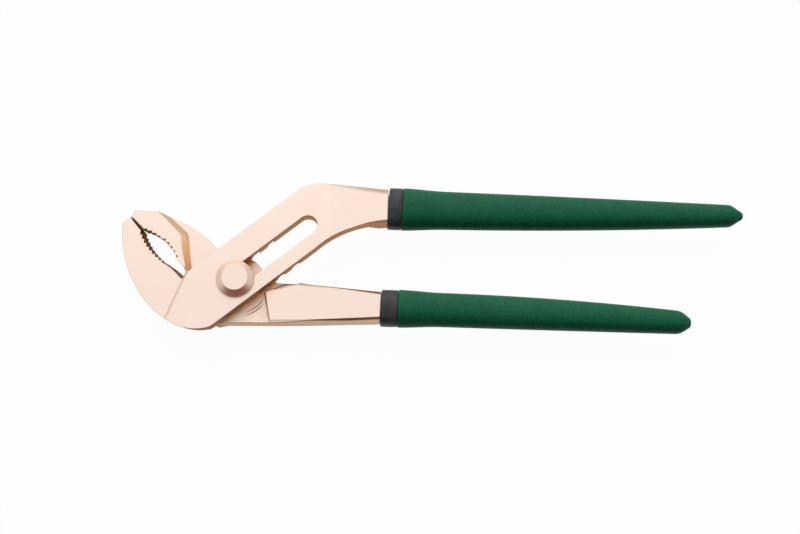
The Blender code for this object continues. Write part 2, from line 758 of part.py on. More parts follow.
def slotted_lever(parts, cutters):
    """Lower jaw, slotted arm and upper handle, in one forging."""
    lever = blank("slotted_jaw_lever", slotted_outline, -JAW_HALF, PLATE_THICKNESS, parts)
    root_upper = tang_outline(UPPER_HANDLE)[0]
    bend = arm_handle_bend()[ARC_STEPS // 2:]
    edges = [UPPER_BEND_END, root_upper], midpoints(bend) + [bend[-1]]
    cut(lever, jaw_face_cut("lower_jaw_face", JAW_STEP, 1, cutters))
    cut(lever, *handle_cuts("upper_handle", UPPER_HANDLE, UPPER_TAPER_START, edges, 1, cutters))
    cut(lever, joint_pocket(cutters), slot_cutter(cutters), tongue_channel(cutters))
    cut(lever, release_rebate(cutters), *[groove_cutter(i, cutters) for i in range(PIVOT_SETTINGS)])
    join(lever, tang_solid("upper_tang", UPPER_HANDLE, cutters))
    return lever


def tongued_lever(parts, cutters):
    """Upper jaw, neck, round plate with its tongue and lower handle, in one forging."""
    lever = blank("tongued_jaw_lever", tongued_outline, -PLATE_THICKNESS, JAW_HALF, parts)
    hole = slab(
        "pivot_hole", arc((0.0, 0.0), SLOT_HALF, 0, 360, ROUND_STEPS)[:-1],
        -PLATE_THICKNESS - CUT_OVERRUN, CUT_OVERRUN, cutters,
    )
    root_upper, root_lower = tang_outline(LOWER_HANDLE)
    edges = [LOWER_HANDLE_ABOVE, root_upper], [LOWER_HANDLE_BELOW, root_lower]
    cut(lever, joint_recess(cutters), jaw_face_cut("upper_jaw_back", REAR_STEP, -1, cutters))
    cut(lever, *handle_cuts("lower_handle", LOWER_HANDLE, LOWER_TAPER_START, edges, -1, cutters))
    join(lever, tongue(cutters), tang_solid("lower_tang", LOWER_HANDLE, cutters))
    cut(lever, hole)
    return lever


def pivot_bolt(parts):
    """Shoulder bolt with a low chamfered head, a plain neck and a thread for the nut."""
    head = HEAD_DIAMETER / 2
    thread = THREAD_DIAMETER / 2
    profile = [
        (0.0, HEAD_SEAT + HEAD_HEIGHT),
        (HEAD_FLAT_DIAMETER / 2, HEAD_SEAT + HEAD_HEIGHT),
        (head, HEAD_SEAT + HEAD_RIM),
        (head, HEAD_SEAT),
        (NECK_RADIUS, HEAD_SEAT),
        (NECK_RADIUS, SHOULDER_END + SEAT_GAP),
        (thread, SHOULDER_END + SEAT_GAP),
        (thread, BOLT_END + BOLT_END_CHAMFER),
        (thread - BOLT_END_CHAMFER, BOLT_END),
        (0.0, BOLT_END),
    ]
    return turned("pivot_bolt", profile, parts)


def pivot_washer(parts):
    """Flat washer under the nut."""
    inner = THREAD_DIAMETER / 2 + SEAT_GAP
    outer = WASHER_DIAMETER / 2
    low = WASHER_TOP - WASHER_THICKNESS
    profile = [(outer, WASHER_TOP), (outer, low), (inner, low), (inner, WASHER_TOP)]
    return turned("pivot_washer", profile, parts)


def pivot_nut(parts, cutters):
    """Thin hexagon nut on the end of the bolt, its outer corners chamfered."""
    low = NUT_TOP - NUT_THICKNESS
    across_corners = NUT_ACROSS_FLATS / math.cos(math.radians(30))
    hexagon = [polar((0.0, 0.0), across_corners / 2, 60 * i + 15) for i in range(6)]
    nut = slab("pivot_nut", hexagon, low, NUT_TOP, parts)
    bore = arc((0.0, 0.0), THREAD_DIAMETER / 2 + SEAT_GAP, 0, 360, ROUND_STEPS // 2)[:-1]
    cut(nut, slab("nut_bore", bore, low - CUT_OVERRUN, NUT_TOP + CUT_OVERRUN, cutters))
    return nut


def smooth(piece):
    """Shade a round piece smooth and keep its real edges sharp."""
    piece.data.shade_smooth()
    piece.data.set_sharp_from_angle(angle=math.radians(35))


def main():
    """Clear the scene and build the tool."""
    for old in list(bpy.data.objects):
        bpy.data.objects.remove(old)
    parts = collection("groove_joint_pliers")
    cutters = collection("cutters")
    bronze = material("aluminium_bronze", BRONZE)
    fastener = material("fastener_bronze", DARK_BRONZE)
    black = material("black_vinyl", BLACK_VINYL)
    green = material("green_vinyl", GREEN_VINYL)

    front = slotted_lever(parts, cutters)
    rear = tongued_lever(parts, cutters)
    bolt = pivot_bolt(parts)
    washer = pivot_washer(parts)
    nut = pivot_nut(parts, cutters)
    upper_sleeve = inner_sleeve("upper_inner_sleeve", UPPER_HANDLE, parts, cutters)
    lower_sleeve = inner_sleeve("lower_inner_sleeve", LOWER_HANDLE, parts, cutters)
    upper_grip = outer_grip("upper_outer_grip", UPPER_HANDLE, True, parts, cutters)
    lower_grip = outer_grip("lower_outer_grip", LOWER_HANDLE, False, parts, cutters)

    for piece, finish in (
        (front, bronze), (rear, bronze), (bolt, fastener), (washer, fastener), (nut, fastener),
        (upper_sleeve, black), (lower_sleeve, black), (upper_grip, green), (lower_grip, green),
    ):
        piece.data.materials.append(finish)
    for piece in (bolt, washer, upper_sleeve, lower_sleeve, upper_grip, lower_grip):
        smooth(piece)

    pivot = bpy.data.objects.new("pivot_axis", None)
    parts.objects.link(pivot)
    for piece in (rear, bolt, washer, nut, lower_sleeve, lower_grip):
        piece.parent = pivot


main()
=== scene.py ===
"""Dressed model of groove-joint slip joint pliers, lying flat in a pale studio.

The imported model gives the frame: metres, X toward the handles, Y toward the upper handle and Z
along the pivot axis. The two forged levers are welded and smoothed from their solids. The bolt,
washer, nut, sleeves and grips are modelled here. Every finish is procedural.
"""

from __future__ import annotations

import json
import logging
import math
from dataclasses import dataclass, field
from enum import Enum
from typing import Any, Callable, Sequence

import bmesh
import bpy
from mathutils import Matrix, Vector

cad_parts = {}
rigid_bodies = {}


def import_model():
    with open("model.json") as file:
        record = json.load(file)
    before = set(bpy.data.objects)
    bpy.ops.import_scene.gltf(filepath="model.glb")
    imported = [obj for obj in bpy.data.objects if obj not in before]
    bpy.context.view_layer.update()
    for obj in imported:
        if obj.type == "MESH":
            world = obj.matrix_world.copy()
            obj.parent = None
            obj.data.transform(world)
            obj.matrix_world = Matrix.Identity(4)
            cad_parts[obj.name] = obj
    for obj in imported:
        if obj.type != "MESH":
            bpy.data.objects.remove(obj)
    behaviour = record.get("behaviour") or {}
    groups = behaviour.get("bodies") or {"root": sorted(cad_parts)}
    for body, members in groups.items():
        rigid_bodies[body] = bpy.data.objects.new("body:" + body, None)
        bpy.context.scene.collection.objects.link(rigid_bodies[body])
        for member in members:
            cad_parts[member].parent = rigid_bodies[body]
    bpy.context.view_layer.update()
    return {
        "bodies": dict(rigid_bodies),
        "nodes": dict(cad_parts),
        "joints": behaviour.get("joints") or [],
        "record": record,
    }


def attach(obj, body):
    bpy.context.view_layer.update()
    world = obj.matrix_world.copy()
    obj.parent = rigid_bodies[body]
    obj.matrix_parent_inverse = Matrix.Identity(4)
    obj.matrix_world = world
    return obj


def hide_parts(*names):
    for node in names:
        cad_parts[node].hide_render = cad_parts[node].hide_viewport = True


LOG = logging.getLogger("pliers")

# A millimetre in metres, and the distance under which points are merged
MM = 0.001
WELD = 0.002 * MM

Colour = tuple[float, float, float, float]
Point = tuple[float, float, float]
Pair = tuple[float, float]
# Gives the place of a ring's point at an angle
Section = Callable[[float], Vector]


# Shader graphs


@dataclass(frozen=True)
class Signal:
    """One output socket of a shader graph, usable in Python expressions."""

    graph: Graph
    socket: bpy.types.NodeSocket

    def __add__(self, other: Signal | float) -> Signal:
        """Sum."""
        return self.graph.math("ADD", self, other)

    def __radd__(self, other: float) -> Signal:
        """Sum with a number on the left."""
        return self.graph.math("ADD", other, self)

    def __sub__(self, other: Signal | float) -> Signal:
        """Difference."""
        return self.graph.math("SUBTRACT", self, other)

    def __rsub__(self, other: float) -> Signal:
        """Difference with a number on the left."""
        return self.graph.math("SUBTRACT", other, self)

    def __mul__(self, other: Signal | float) -> Signal:
        """Product."""
        return self.graph.math("MULTIPLY", self, other)

    def __rmul__(self, other: float) -> Signal:
        """Product with a number on the left."""
        return self.graph.math("MULTIPLY", other, self)

    def __truediv__(self, other: Signal | float) -> Signal:
        """Quotient."""
        return self.graph.math("DIVIDE", self, other)

    def __pow__(self, other: float) -> Signal:
        """Power."""
        return self.graph.math("POWER", self, other)

    def __abs__(self) -> Signal:
        """Absolute value."""
        return self.graph.math("ABSOLUTE", self)

    def sine(self) -> Signal:
        """Sine of the value in radians."""
        return self.graph.math("SINE", self)

    def step(self, low: float, high: float) -> Signal:
        """Smooth step from 0 at low to 1 at high.

        Args:
            low: Value at which the step starts.
            high: Value at which the step ends, which may lie below low.

        Returns:
            The stepped signal, from 0 to 1.
        """
        if low > high:
            return 1.0 - self.step(high, low)
        values = {0: self, 1: low, 2: high, 3: 0.0, 4: 1.0}
        return self.graph.signal("ShaderNodeMapRange", values, {"interpolation_type": "SMOOTHSTEP"})

    def band(self, centre: float, half: float, soft: float) -> Signal:
        """1 within a half width of a centre, fading to 0 over a soft edge."""
        return abs(self - centre).step(half + soft, half)


class Graph:
    """The node tree of one material or world, emptied and ready to be filled."""

    def __init__(self, owner: bpy.types.Material | bpy.types.World) -> None:
        """Take over an owner's node tree.

        Args:
            owner: The material or world.
        """
        owner.use_nodes = True
        self.tree = owner.node_tree
        self.tree.nodes.clear()

    def node(
        self,
        kind: str,
        settings: dict[str, Any] | None = None,
        values: dict[int | str, Any] | None = None,
    ) -> bpy.types.Node:
        """Add one node.

        Args:
            kind: Type name of the node.
            settings: Its properties, which are set first.
            values: Numbers, colours or signals for its input sockets.

        Returns:
            The node.
        """
        made = self.tree.nodes.new(kind)
        for key, value in (settings or {}).items():
            setattr(made, key, value)
        for key, value in (values or {}).items():
            self.feed(made.inputs[key], value)
        return made

    def feed(self, socket: bpy.types.NodeSocket, value: Any) -> None:
        """Link a signal to a socket, or set the socket's own value.

        Args:
            socket: The input socket.
            value: A signal, a number or a tuple.
        """
        if isinstance(value, Signal):
            self.tree.links.new(value.socket, socket)
        else:
            socket.default_value = value

    def signal(
        self,
        kind: str,
        values: dict[int | str, Any] | None = None,
        settings: dict[str, Any] | None = None,
        output: int | str = 0,
    ) -> Signal:
        """Add one node and take one of its outputs.

        Args:
            kind: Type name of the node.
            values: Numbers, colours or signals for its input sockets.
            settings: Its properties.
            output: Number or name of the output.

        Returns:
            The output.
        """
        return Signal(self, self.node(kind, settings, values).outputs[output])

    def math(self, operation: str, *values: Signal | float) -> Signal:
        """Result of a Math node with its operands."""
        return self.signal("ShaderNodeMath", dict(enumerate(values)), {"operation": operation})

    def mix(self, share: Signal | float, first: Any, second: Any) -> Signal:
        """Mix of two colours; the share of the second is held between 0 and 1."""
        settings = {"data_type": "RGBA", "clamp_factor": True}
        return self.signal("ShaderNodeMix", {0: share, 6: first, 7: second}, settings, 2)

    def coat(self, tone: Any, *coats: tuple[Signal, Colour]) -> Signal:
        """Lay coats of colour over a tone.

        Args:
            tone: A colour or signal.
            coats: How much of each coat shows, and its colour; the last lies on top.

        Returns:
            The coated tone.
        """
        for share, colour in coats:
            tone = self.mix(share, tone, colour)
        return tone

    def place(self, output: str = "Object") -> Signal:
        """Coordinates of the shaded point: Object, Normal or Generated."""
        return self.signal("ShaderNodeTexCoord", output=output)

    def mapped(self, vector: Signal, turn: float, scale: Point) -> Signal:
        """Coordinates scaled along each axis and turned about Z, in degrees."""
        values = {"Vector": vector, "Rotation": (0.0, 0.0, math.radians(turn)), "Scale": scale}
        return self.signal("ShaderNodeMapping", values)

    def axes(self, vector: Signal) -> tuple[Signal, Signal, Signal]:
        """Split a vector into its three numbers."""
        node = self.node("ShaderNodeSeparateXYZ", values={0: vector})
        return tuple(Signal(self, node.outputs[i]) for i in range(3))

    def noise(self, vector: Signal, size: float, detail: float = 2.0, rough: float = 0.5) -> Signal:
        """Noise from 0 to 1.

        Args:
            vector: The coordinates, in metres.
            size: Size of its grains, in millimetres.
            detail: Number of finer layers.
            rough: Strength of the finer layers.

        Returns:
            The noise.
        """
        scale = 1.0 / (size * MM)
        values = {"Vector": vector, "Scale": scale, "Detail": detail, "Roughness": rough}
        return self.signal("ShaderNodeTexNoise", values)

    def cells(self, vector: Signal, size: float) -> Signal:
        """Distance to the nearest of scattered points, in spacings of a size in millimetres."""
        values = {"Vector": vector, "Scale": 1.0 / (size * MM)}
        return self.signal("ShaderNodeTexVoronoi", values, output="Distance")

    def rounded(self, radius: float) -> Signal:
        """Normal of the surface with its edges rounded by a radius in millimetres."""
        return self.signal("ShaderNodeBevel", {"Radius": radius * MM}, {"samples": 6})

    def edges(self, radius: float) -> Signal:
        """Mask of the surface close to a sharp edge.

        Args:
            radius: How far from an edge it reaches, in millimetres.

        Returns:
            The mask.
        """
        values = {0: self.rounded(radius), 1: self.signal("ShaderNodeNewGeometry", output="Normal")}
        apart = self.signal("ShaderNodeVectorMath", values, {"operation": "DISTANCE"}, "Value")
        return apart.step(0.08, 0.55)

    def relief(self, height: Signal, depth: float, edge: float = 0.0) -> Signal:
        """Normal of a surface with a relief, and with rounded edges if asked.

        Args:
            height: The relief, about 0 to 1.
            depth: Depth of the relief, in millimetres.
            edge: Radius of the rounded edges, in millimetres, or 0 for none.

        Returns:
            The normal.
        """
        values: dict[int | str, Any] = {"Strength": 1.0, "Distance": depth * MM, "Height": height}
        if edge:
            values["Normal"] = self.rounded(edge)
        return self.signal("ShaderNodeBump", values)


# Finishes


# What feeds the inputs of a shader, by their names
Feeds = dict[str, Signal | float]
# The tone, the height that marks add, and where they dull the metal
Marks = tuple[Signal, Signal | float, Signal | float]


@dataclass(frozen=True)
class Finish:
    """What every finish shares: its name and the shader's even values."""

    name: str
    metallic: float = 0.0
    specular: float = 0.5
    rim_tint: Colour = (1.0, 1.0, 1.0, 1.0)

    def material(self) -> bpy.types.Material:
        """Make the material.

        Returns:
            The dressed material.
        """
        made = bpy.data.materials.new(self.name)
        graph = Graph(made)
        values = {
            "Metallic": self.metallic, "Specular IOR Level": self.specular,
            "Specular Tint": self.rim_tint, **self.dress(graph),
        }
        shader = graph.signal("ShaderNodeBsdfPrincipled", values)
        graph.node("ShaderNodeOutputMaterial", values={"Surface": shader})
        return made

    def dress(self, graph: Graph) -> Feeds:
        """What feeds the shader's colour, roughness and normal, by the name of the input."""
        raise NotImplementedError


class Spot:
    """The shaded point on a lever: its place in millimetres, and how its surface faces."""

    def __init__(self, graph: Graph) -> None:
        """Read the place and the facing.

        Args:
            graph: The material's graph.
        """
        self.graph = graph
        self.coat = graph.coat
        self.place = graph.place()
        self.x, self.y, self.z = (axis * (1 / MM) for axis in graph.axes(self.place))
        normal = graph.axes(graph.place("Normal"))
        self.facing = abs(normal[2])
        self.front = normal[1].step(-0.3, -0.65)
        self.back = normal[1].step(0.3, 0.6)
        self.flat = self.facing.step(0.55, 0.85)
        self.wall = self.facing.step(0.35, 0.12)
        self.radius = (self.x * self.x + self.y * self.y) ** 0.5
        self.fine = graph.noise(self.place, 0.42, 2.0, 0.65)
        self.skin = graph.noise(self.place, 1.3, 4.0, 0.6)

    def across(self, start: Pair, angle: float) -> Signal:
        """Millimetres to the left of a line, given by a point on it and its angle in degrees."""
        cos, sin = math.cos(math.radians(angle)), math.sin(math.radians(angle))
        return (self.y - start[1]) * cos - (self.x - start[0]) * sin

    def apart(self, start: Pair, end: Pair) -> Signal:
        """Distance from a straight stretch seen from above, in millimetres.

        Args:
            start: One end of the stretch.
            end: The other end.

        Returns:
            The distance.
        """
        limit = self.graph.math
        way = (end[0] - start[0], end[1] - start[1])
        dx, dy = self.x - start[0], self.y - start[1]
        share = (dx * way[0] + dy * way[1]) / (way[0] ** 2 + way[1] ** 2)
        share = limit("MINIMUM", limit("MAXIMUM", share, 0.0), 1.0)
        dx, dy = dx - share * way[0], dy - share * way[1]
        return (dx * dx + dy * dy) ** 0.5


@dataclass(frozen=True)
class LeverMetal(Finish):
    """Satin copper alloy with ground flats, and painted shade and reflection on walls and slopes.
    Places are in millimetres.
    """

    name: str = "lever_metal"
    metallic: float = 1.0
    rim_tint: Colour = (0.6, 0.42, 0.32, 1.0)
    flat: Colour = (0.93, 0.77, 0.68, 1.0)
    warm: Colour = (0.88, 0.64, 0.48, 1.0)
    # Orange of sloped faces: a painted reflection between facing surfaces
    slope: Colour = (1.0, 0.72, 0.44, 1.0)
    # Brown of upright walls: painted shade
    wall: Colour = (0.45, 0.262, 0.18, 1.0)
    # Dark brown of the forging skin's patches and the turned arcs, and of painted shade in the
    # bite, slit, throat, tooth flanks, wall tops and folds
    deep: Colour = (0.17, 0.058, 0.022, 1.0)
    # Painted shade along sharp edges, as on rounded edges
    edge_shade: Colour = (0.76, 0.59, 0.48, 1.0)
    edge_radius: float = 0.4
    grain_turn: float = 38.0
    grain_stretch: Point = (0.16, 1.0, 1.0)
    roughness: float = 0.40
    relief_depth: float = 0.016
    bite_angle: float = 41.5
    bite_reach: Pair = (-17.5, 19.0)
    bite_half: float = 6.0
    slit: tuple[Pair, Pair] = ((-42.65, 26.1), (-38.01, 20.86))

    def dress(self, graph: Graph) -> Feeds:
        """Tone by surface, grain, forging skin and the lever's own marks.

        Args:
            graph: The material's graph.

        Returns:
            What feeds each input of the shader.
        """
        spot = Spot(graph)
        cloud = graph.noise(spot.place, 14.0, 3.0, 0.55)
        turned = graph.mapped(spot.place, self.grain_turn, self.grain_stretch)
        grain = graph.noise(turned, 0.20, 3.0, 0.6)

        tone = graph.coat(
            self.wall,
            # Walls painted brown and slopes orange by how they face: painted shade and painted
            # reflection
            (spot.facing.step(0.12, 0.36), self.slope),
            (spot.skin.step(0.5, 0.8) * 0.25, self.deep),
            (spot.flat, self.flat),
            ((cloud - 0.5) * 0.40 * spot.flat + 0.05, self.warm),
            ((spot.fine - 0.5) * 0.70 + 0.08, self.warm),
            # Painted shade along the edges
            (graph.edges(0.35) * 0.60, self.edge_shade),
        )
        tone, rise, dull = self.marks(spot, tone)
        rise = rise + grain * 0.3 * spot.flat + spot.fine * 0.5
        rise = rise + spot.skin * (1.0 - spot.flat) * 1.2
        return {
            "Base Color": tone,
            "Metallic": 1.0 - dull,
            "Roughness": self.roughness + (spot.fine - 0.5) * 0.12 + (cloud - 0.5) * 0.06,
            "Normal": graph.relief(rise, self.relief_depth, self.edge_radius),
        }

    def marks(self, spot: Spot, tone: Signal) -> Marks:
        """Add one lever's own marks and painted shade.

        Args:
            spot: The shaded point.
            tone: The tone so far.

        Returns:
            The tone, the height that the marks add, and where they dull the metal.
        """
        raise NotImplementedError

    def bite(self, spot: Spot, tone: Signal) -> Signal:
        """Paint shade on the walls of the bite, and along the slit at its tip.

        Args:
            spot: The shaded point.
            tone: The tone so far.

        Returns:
            The darkened tone.
        """
        tip = self.slit[0]
        inward = spot.across(tip, self.bite_angle)
        mouth = spot.across(tip, self.bite_angle - 90.0).band(0.0, self.bite_half, 0.6)
        mouth = mouth * inward.band(*self.bite_reach, 0.8)
        shaded = mouth * spot.wall * (0.75 + spot.skin * 0.4)
        slit = (spot.apart(*self.slit) + inward * 0.05 + (spot.fine - 0.5) * 0.5).step(0.55, 0.30)
        return spot.coat(tone, (shaded, self.deep), (slit * spot.flat * 0.95, self.deep))


@dataclass(frozen=True)
class SlottedMetal(LeverMetal):
    """Metal of the slotted lever."""

    name: str = "slotted_lever_metal"
    # Brown of the painted shade on the heel's walls
    scale: Colour = (0.33, 0.215, 0.16, 1.0)
    # Painted shade and painted sheen on the handle's root
    root_shade: Colour = (0.86, 0.42, 0.22, 1.0)
    root_sheen: Colour = (1.0, 0.64, 0.44, 1.0)
    plate_top: float = 17.2
    heel: Pair = (8.0, -8.0)
    throat: tuple[Pair, ...] = ((-28.91, 7.61), (-26.54, 6.12), (-23.78, 3.76), (-21.46, 1.15))
    root_start: float = 30.0
    root_fold: float = 14.9
    root_edge: tuple[Pair, float] = ((39.51, 39.41), -7.20)

    def marks(self, spot: Spot, tone: Signal) -> Marks:
        """Paint shade on the bite, the throat, the heel, the top of each wall and the handle's
        root, and sheen on the root's front.

        Args:
            spot: The shaded point.
            tone: The tone so far.

        Returns:
            The tone, and no height and no dullness.
        """
        # Painted shade on the heel's walls
        right, upper = self.heel
        heel = spot.wall * spot.x.step(right, right - 8.0) * spot.y.step(upper, upper - 4.0)
        # Painted shade along the top of each wall
        wall_top_shade = spot.z.step(self.plate_top - 1.7, self.plate_top - 0.5) * spot.wall
        tone = spot.coat(self.bite(spot, tone), (heel * 0.8, self.scale), (wall_top_shade * 0.75, self.deep))
        # Painted shade in the throat
        ragged = (spot.fine - 0.5) * 0.4 - spot.wall * 1.5
        for start, end in zip(self.throat, self.throat[1:]):
            shade = (spot.apart(start, end) + ragged).step(0.95, 0.65)
            tone = spot.coat(tone, (shade * 0.9, self.deep))

        start, fold = self.root_start, self.root_fold
        wedge = spot.x.step(start, start + 4.0) * (1.0 - spot.flat) * (1.0 - spot.wall)
        front = wedge * spot.front
        edge = spot.across(*self.root_edge) + (spot.fine - 0.5) * 0.3
        edge = edge.step(-1.5, 0.2) * spot.x.step(start + 2.0, start + 28.0) * spot.flat
        # Painted sheen on the root's front, painted shade above its fold, on its back and along its
        # upper edge
        tone = spot.coat(
            tone,
            (front, self.root_sheen),
            (front * spot.z.step(fold, fold + 0.6), self.root_shade),
            (wedge * spot.back * 0.9, self.wall),
            (edge * 0.85, self.wall),
        )
        return tone, 0.0, 0.0


@dataclass(frozen=True)
class TonguedMetal(LeverMetal):
    """Metal of the tongued lever."""

    name: str = "tongued_lever_metal"
    floor: Colour = (1.0, 0.81, 0.67, 1.0)
    # Brown of the painted shadow below the arm and along the step's upper edge, and of the turned
    # rings and grit by the pivot
    worn: Colour = (0.9, 0.5, 0.29, 1.0)
    # Painted shade on the floor under the arm and at the foot of the jaw's step
    brown_shade: Colour = (0.64, 0.26, 0.11, 1.0)
    # Painted reflection on the handle's lower wall
    strip: Colour = (0.76, 0.61, 0.49, 1.0)
    # Painted sheen on the lower wedge of the handle
    sheen: Colour = (1.0, 0.76, 0.58, 1.0)
    # Dark brown of the floor's dots, and of the painted shade along the handle's upper edge
    dots_and_edge_shade: Colour = (0.36, 0.215, 0.145, 1.0)
    # Greyer painted reflection at the upper end of the jaw's step
    step_top: Colour = (0.72, 0.56, 0.4, 1.0)
    step_foot: tuple[Pair, Pair] = ((-19.81, 4.48), (-18.78, 4.81))
    floor_height: float = 11.2
    arm_angle: float = 38.0
    arm_lower: float = 9.6
    arm_reach: float = 12.6
    stop_wall: Pair = (13.2, 2.4)
    rim_reach: Pair = (10.0, 31.0)
    rim_low: float = -16.3
    arm_shadow_width: Pair = (2.0, 6.5)
    ring_radii: tuple[float, ...] = (12.9, 14.1)
    ring_reach: Pair = (2.0, 11.6)
    wall_low: float = 6.0
    fold_heights: Pair = (10.7, 15.4)
    handle_top: float = 15.35
    upper_edge: tuple[Pair, float] = ((30.0, -2.15), -5.07)
    teeth: tuple[Pair, ...] = (
        (-28.7, 16.54), (-27.19, 15.08), (-25.92, 13.41), (-24.86, 11.62), (-23.83, 9.63),
    )

    def marks(self, spot: Spot, tone: Signal) -> Marks:
        """Dress the recess floor, the painted shadow below the arm, the jaw's step and the handle's
        edges.

        Args:
            spot: The shaded point.
            tone: The tone so far.

        Returns:
            The tone, the height of the grit and the arcs, and the dull shoulder slope.
        """
        across = spot.across((0.0, 0.0), self.arm_angle)
        below = across * -1.0 - self.arm_lower
        speckle = spot.graph.noise(spot.place, 0.50, 3.0, 0.75)
        grit = speckle.step(0.38, 0.66)
        inside = across.step(self.arm_reach + 0.8, self.arm_reach)
        floor = spot.z.band(self.floor_height, 0.3, 0.15) * spot.flat * inside
        left, right = self.rim_reach
        rim = (1.0 - spot.flat) * spot.z.step(11.3, 11.7) * spot.x.step(left, left + 4.0)
        rim = rim * spot.y.step(self.rim_low, self.rim_low + 0.5) * spot.x.step(right, right - 3.0)
        stop = spot.wall * spot.x.band(*self.stop_wall, 0.4) * spot.z.step(10.9, 11.2)
        dots = spot.graph.noise(spot.place, 0.32, 1.0).step(0.52, 0.66)
        turned = (spot.radius * 6.5 + speckle * 5.0).sine() * 0.5 + 0.5
        # The floor by the pivot: turned rings and grit in brown, with painted shade where the arm
        # covers it
        inner = (spot.radius + (speckle - 0.5) * 3.0).step(13.6, 12.0) * floor
        # Painted shadow cast by the arm on the floor and the handle
        width = floor * self.arm_shadow_width[0] + (1.0 - floor) * self.arm_shadow_width[1]
        arm_shadow = ((below + (speckle - 0.5) * 5.0) / width).step(1.0, 0.1) * below.step(-0.5, 0.1)
        arm_shadow = arm_shadow * spot.x.step(32.0, 25.0) * (spot.flat + rim)
        arcs = self.arcs(spot) * floor * below.step(0.2, 1.2)
        # Painted shade at the foot of the jaw's step
        foot = (spot.apart(*self.step_foot) + (spot.fine - 0.5) * 0.4).step(1.15, 0.75)

        tone = spot.coat(
            self.jaw_step(spot, self.bite(spot, tone)),
            (rim * 0.95, self.flat),
            (stop * (1.0 - spot.front), self.flat),
            (floor, self.floor),
            (floor * dots * 0.26, self.dots_and_edge_shade),
            (inner * (turned * 0.35 + grit * 0.35), self.worn),
            (inner * across.step(1.4, 3.2) * 0.85, self.brown_shade),
            # Painted shadow below the arm
            (arm_shadow * (0.55 + grit * 0.40), self.worn),
            (arcs * 0.75, self.deep),
        )
        tone = spot.coat(
            self.handle_edges(spot, tone),
            (self.tooth_shades(spot) * 0.9, self.deep),
            (foot * spot.z.step(14.0, 15.0), self.brown_shade),
        )
        return tone, speckle * floor * 1.5 - arcs * 3.0, rim * 0.6 * (1.0 - arm_shadow * 0.7)

    def jaw_step(self, spot: Spot, tone: Signal) -> Signal:
        """Paint a greyer reflection at the upper end of the step behind the upper jaw, and shade
        along its upper edge.

        Args:
            spot: The shaded point.
            tone: The tone so far.

        Returns:
            The tone with the step.
        """
        step = (1.0 - spot.flat) * (1.0 - spot.wall) * spot.x.step(-15.0, -17.0)
        return spot.coat(
            tone,
            (step * spot.y.step(17.5, 20.5), self.step_top),
            (step * spot.z.step(15.5, 16.1) * 0.5, self.worn),
        )

    def tooth_shades(self, spot: Spot) -> Signal:
        """Painted shade of the teeth's flanks near the throat, on the edge of the upper jaw's face.

        Args:
            spot: The shaded point.

        Returns:
            The mask of the flanks.
        """
        shades: Signal | float = 0.0
        for x, y in self.teeth:
            apart = ((spot.x - x) * (spot.x - x) + (spot.y - y) * (spot.y - y)) ** 0.5
            shades = apart.step(0.62, 0.36) + shades
        return shades * spot.flat * spot.z.step(15.8, 16.0)

    def arcs(self, spot: Spot) -> Signal:
        """Turned steps round the pivot, on the recess floor.

        Args:
            spot: The shaded point.

        Returns:
            The mask of the arcs.
        """
        lines: Signal | float = 0.0
        for radius in self.ring_radii:
            lines = spot.radius.band(radius, 0.12, 0.2) + lines
        left, right = self.ring_reach
        return lines * spot.x.step(left, left + 5.0) * spot.x.step(right, right - 2.2)

    def handle_edges(self, spot: Spot, tone: Signal) -> Signal:
        """Paint reflection, shade and sheen on the handle's lower wall, and shade along its upper
        edge.

        Args:
            spot: The shaded point.
            tone: The tone so far.

        Returns:
            The tone with the handle's edges.
        """
        side = spot.front * spot.x.step(-8.0, -2.0)
        wall = side * spot.wall
        low, high = self.fold_heights
        fold = spot.z - low - spot.x.step(16.0, 30.0) * (high - low)
        sloped = spot.facing.step(0.25, 0.40) * spot.facing.step(0.95, 0.85)
        below = side * sloped
        dark = (spot.z + spot.fine * 0.3).step(self.handle_top - 0.6, self.handle_top)
        above = spot.back * sloped * spot.x.step(27.0, 31.0)
        edge = (spot.fine - 0.5) * 0.4 - spot.across(*self.upper_edge)
        edge = edge.step(0.9, 0.2) * spot.x.step(16.0, 20.0) * spot.x.step(60.0, 31.0)
        # Painted reflection on the lower wall, painted shade at its foot and fold, the flat's tone
        # above the fold, and painted sheen and shade on the lower wedge
        return spot.coat(
            tone,
            (wall * 0.95, self.strip),
            (wall * (spot.z - self.wall_low).step(2.0, 0.0) * 0.3, self.wall),
            (wall * fold.step(0.1, 0.6) * spot.x.step(33.0, 29.0), self.flat),
            (wall * fold.band(0.0, 0.35, 0.35) * 0.9, self.deep),
            (below, self.sheen),
            (below * dark * 0.90, self.deep),
            # Painted shade along the handle's upper edge
            (above * (spot.z + spot.fine * 0.4).step(16.5, 15.6), self.dots_and_edge_shade),
            (edge * (spot.flat + spot.back) * 0.8, self.dots_and_edge_shade),
        )


